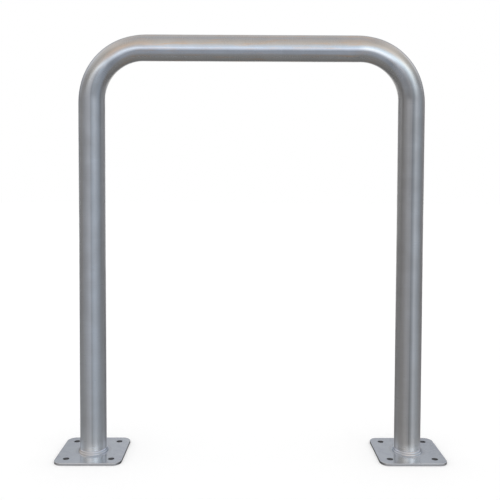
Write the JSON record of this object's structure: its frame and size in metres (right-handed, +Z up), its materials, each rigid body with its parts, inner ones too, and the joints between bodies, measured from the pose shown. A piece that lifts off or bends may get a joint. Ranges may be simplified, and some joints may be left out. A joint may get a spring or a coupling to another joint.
{
  "type": "hoop barrier",
  "caption": "Upside-down U hoop of bent round stainless-steel tube, with a square bolt-down base plate welded under each leg, for guarding a kerb, a door or a machine.",
  "frame": {"origin": "on the ground, half way between the two legs", "axes": "+Z up, +X along the top rail, +Y through the hoop, away from the viewer of the picture"},
  "size_m": [0.887, 0.152, 0.97],
  "materials": {
    "tube_steel": "satin",
    "plate_steel": "satin",
    "weld_metal": "smooth weld bead"
  },
  "bodies": {
    "root": {"hoop_tube": "tube_steel", "base_plate_left": "plate_steel", "base_plate_right": "plate_steel", "weld_left": "weld_metal", "weld_right": "weld_metal"}
  },
  "joints": []
}
